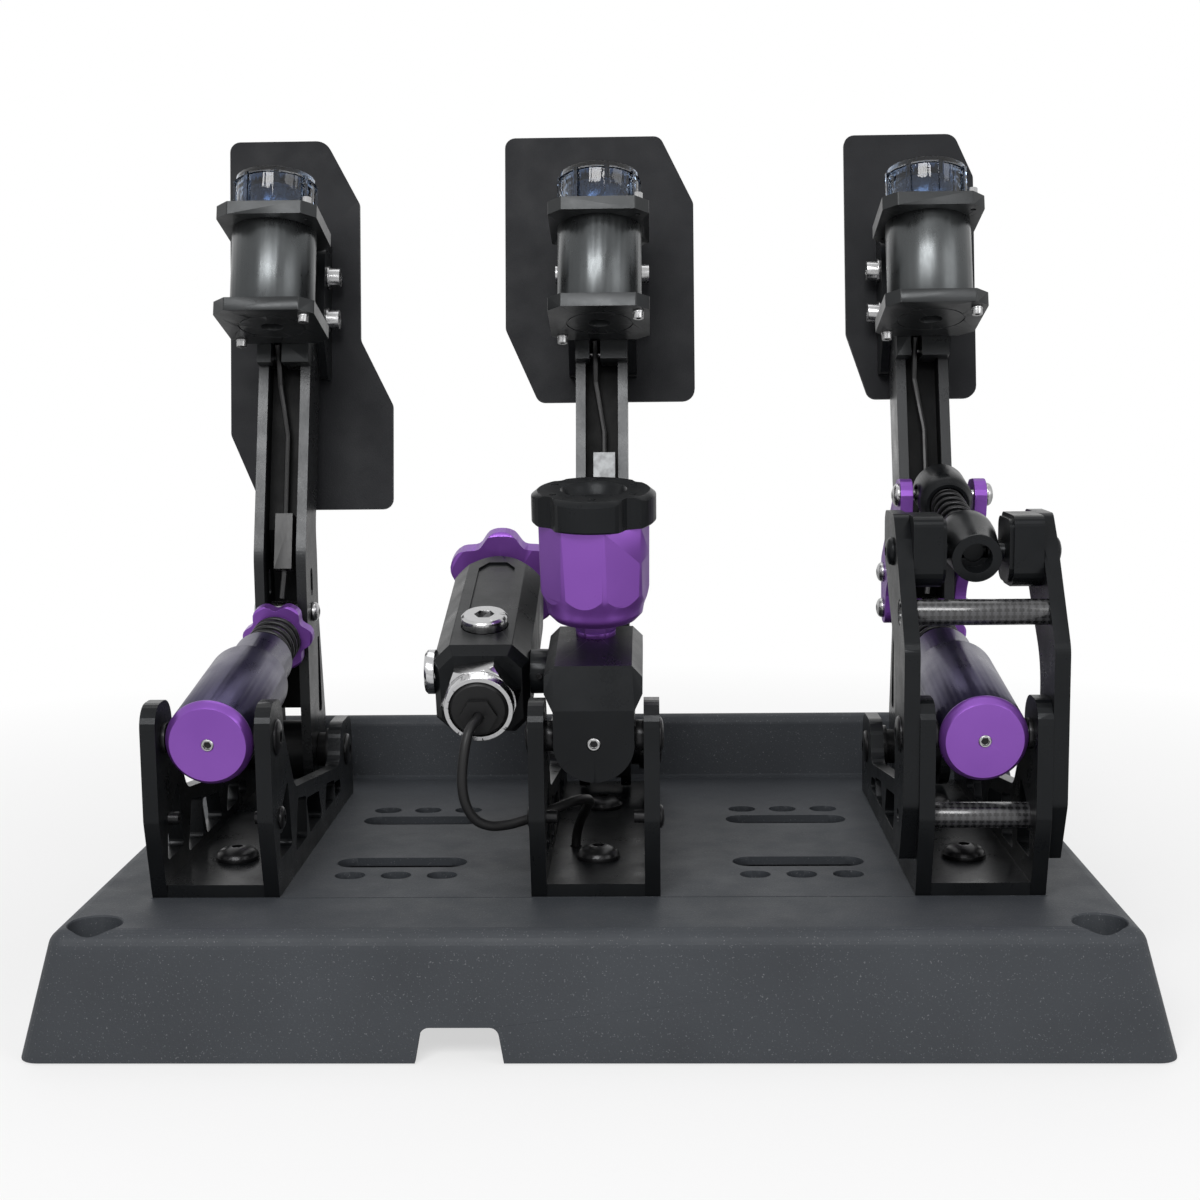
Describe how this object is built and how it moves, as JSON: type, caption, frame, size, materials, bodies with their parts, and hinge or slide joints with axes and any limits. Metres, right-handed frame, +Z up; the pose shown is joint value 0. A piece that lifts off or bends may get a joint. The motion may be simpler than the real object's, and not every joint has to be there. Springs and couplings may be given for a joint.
{
  "type": "sim racing pedal set",
  "caption": "Throttle, brake and clutch pedals with vibration motors, spring barrels, a hydraulic brake and a clutch assist, on a moulded base with a heel stop.",
  "frame": {"origin": "centre of the base's underside, on the floor", "axes": "+X across the set towards the clutch, +Y towards the driver, +Z up"},
  "size_m": [0.425, 0.28, 0.3622],
  "materials": {
    "tray": "grained moulding",
    "plate": "matt powder coat",
    "black": "black anodised",
    "purple": "purple anodised",
    "steel": "satin",
    "black_steel": "black oxide",
    "chrome": "polished",
    "clear": "smoked clear",
    "carbon": "carbon weave",
    "motor": "satin black can",
    "rubber": "matt",
    "box": "fine grain"
  },
  "bodies": {
    "base": {"base_tray": "tray", "control_box": "box", "channel_throttle": "black", "channel_brake": "black", "channel_clutch": "black", "channel_bolts": "black_steel", "wall_bolts": "black_steel", "pedal_axles": "black_steel", "clutch_side_plates": "black", "clutch_tubes": "carbon", "clutch_trunnions": "black"},
    "throttle_pedal": {"arm_throttle": "black", "plate_throttle": "plate", "bracket_throttle": "black", "screws_throttle": "steel", "clamp_throttle": "black", "motor_throttle": "motor", "dome_throttle": "clear"},
    "throttle_rotor": {"rotor_throttle": "steel"},
    "brake_pedal": {"arm_brake": "black", "plate_brake": "plate", "bracket_brake": "black", "screws_brake": "steel", "clamp_brake": "black", "motor_brake": "motor", "dome_brake": "clear"},
    "brake_rotor": {"rotor_brake": "steel"},
    "clutch_pedal": {"arm_clutch": "black", "plate_clutch": "plate", "bracket_clutch": "black", "screws_clutch": "steel", "clamp_clutch": "black", "motor_clutch": "motor", "dome_clutch": "clear", "assist_links": "purple"},
    "clutch_rotor": {"rotor_clutch": "steel"},
    "throttle_barrel": {"barrel_throttle": "purple", "barrel_cap_throttle": "purple", "spring_throttle": "black_steel"},
    "throttle_rod": {"rod_throttle": "steel"},
    "throttle_knob": {"knob_throttle": "purple"},
    "clutch_barrel": {"barrel_clutch": "purple", "barrel_cap_clutch": "purple", "spring_clutch": "black_steel"},
    "clutch_rod": {"rod_clutch": "steel"},
    "clutch_knob": {"knob_clutch": "purple"},
    "brake_master": {"master_cylinder": "black", "fluid_cup": "purple", "pressure_cylinder": "black", "pressure_plugs": "chrome", "bridge_tube": "black", "gland_nut": "chrome", "sensor_plug": "rubber", "sensor_cable": "rubber"},
    "brake_pushrod": {"master_pushrod": "steel"},
    "brake_fluid_cap": {"fluid_cap": "black"},
    "brake_pressure_knob": {"pressure_knob": "purple"},
    "assist_front": {"assist_front_cup": "black", "assist_spring": "black_steel"},
    "assist_rear": {"assist_rear_cup": "black"}
  },
  "joints": [
    {"name": "throttle_pedal_hinge", "type": "hinge", "parent": "base", "child": "throttle_pedal", "pos_m": [-0.148, 0.0685, 0.0725], "axis": [1, 0, 0], "range_deg": [0, 12], "stiffness_Nm_per_rad": 18, "springref_deg": -2.86},
    {"name": "throttle_rotor_spin", "type": "hinge", "parent": "throttle_pedal", "child": "throttle_rotor", "pos_m": [-0.148, 0.05697, 0.29496], "axis": [0, 0.2924, 0.9563], "continuous": true},
    {"name": "brake_pedal_hinge", "type": "hinge", "parent": "base", "child": "brake_pedal", "pos_m": [0, 0.0685, 0.0725], "axis": [1, 0, 0], "range_deg": [0, 6], "stiffness_Nm_per_rad": 400, "springref_deg": -0.57},
    {"name": "brake_rotor_spin", "type": "hinge", "parent": "brake_pedal", "child": "brake_rotor", "pos_m": [0, 0.05697, 0.29496], "axis": [0, 0.2924, 0.9563], "continuous": true},
    {"name": "clutch_pedal_hinge", "type": "hinge", "parent": "base", "child": "clutch_pedal", "pos_m": [0.148, 0.0685, 0.0725], "axis": [1, 0, 0], "range_deg": [0, 12], "stiffness_Nm_per_rad": 30, "springref_deg": -2.86},
    {"name": "clutch_rotor_spin", "type": "hinge", "parent": "clutch_pedal", "child": "clutch_rotor", "pos_m": [0.148, 0.05697, 0.29496], "axis": [0, 0.2924, 0.9563], "continuous": true},
    {"name": "throttle_barrel_swing", "type": "hinge", "parent": "base", "child": "throttle_barrel", "pos_m": [-0.148, -0.0875, 0.1107], "axis": [1, 0, 0], "range_deg": [-0.25, 0.05]},
    {"name": "throttle_rod_slide", "type": "slide", "parent": "throttle_barrel", "child": "throttle_rod", "axis": [0, -0.9877, -0.1564], "range_m": [0, 0.0142], "deforming": ["spring_throttle"]},
    {"name": "throttle_knob_turn", "type": "hinge", "parent": "throttle_rod", "child": "throttle_knob", "pos_m": [-0.148, 0.04139, 0.13112], "axis": [0, 0.9877, 0.1564], "continuous": true},
    {"name": "clutch_barrel_swing", "type": "hinge", "parent": "base", "child": "clutch_barrel", "pos_m": [0.148, -0.0875, 0.1107], "axis": [1, 0, 0], "range_deg": [-0.25, 0.05]},
    {"name": "clutch_rod_slide", "type": "slide", "parent": "clutch_barrel", "child": "clutch_rod", "axis": [0, -0.9877, -0.1564], "range_m": [0, 0.0142], "deforming": ["spring_clutch"]},
    {"name": "clutch_knob_turn", "type": "hinge", "parent": "clutch_rod", "child": "clutch_knob", "pos_m": [0.148, 0.04139, 0.13112], "axis": [0, 0.9877, 0.1564], "continuous": true},
    {"name": "brake_master_swing", "type": "hinge", "parent": "base", "child": "brake_master", "pos_m": [0, -0.0875, 0.1107], "axis": [1, 0, 0], "range_deg": [0, 0.05]},
    {"name": "brake_pushrod_slide", "type": "slide", "parent": "brake_master", "child": "brake_pushrod", "axis": [0, -0.9877, -0.1564], "range_m": [0, 0.0071]},
    {"name": "fluid_cap_turn", "type": "hinge", "parent": "brake_master", "child": "brake_fluid_cap", "pos_m": [0, -0.06378, 0.19748], "axis": [0, -0.1564, 0.9877], "continuous": true},
    {"name": "pressure_knob_turn", "type": "hinge", "parent": "brake_master", "child": "brake_pressure_knob", "pos_m": [-0.046, 0.05752, 0.15265], "axis": [0, 0.9668, 0.2554], "continuous": true},
    {"name": "assist_swing", "type": "hinge", "parent": "base", "child": "assist_front", "pos_m": [0.148, -0.0635, 0.1785], "axis": [1, 0, 0], "range_deg": [-8.7, 0]},
    {"name": "assist_slide", "type": "slide", "parent": "assist_front", "child": "assist_rear", "axis": [0, -0.9772, -0.2122], "range_m": [0, 0.0262], "deforming": ["assist_spring"]}
  ],
  "couplings": [
    {"joint": "throttle_barrel_swing", "follows": "throttle_pedal_hinge", "ratio": -0.0145},
    {"joint": "throttle_rod_slide", "follows": "throttle_pedal_hinge", "m_per_rad": 0.06706},
    {"joint": "clutch_barrel_swing", "follows": "clutch_pedal_hinge", "ratio": -0.0145},
    {"joint": "clutch_rod_slide", "follows": "clutch_pedal_hinge", "m_per_rad": 0.06706},
    {"joint": "brake_master_swing", "follows": "brake_pedal_hinge", "ratio": 0.007},
    {"joint": "brake_pushrod_slide", "follows": "brake_pedal_hinge", "m_per_rad": 0.06706},
    {"joint": "assist_swing", "follows": "clutch_pedal_hinge", "ratio": -0.72},
    {"joint": "assist_slide", "follows": "clutch_pedal_hinge", "m_per_rad": 0.1245}
  ]
}
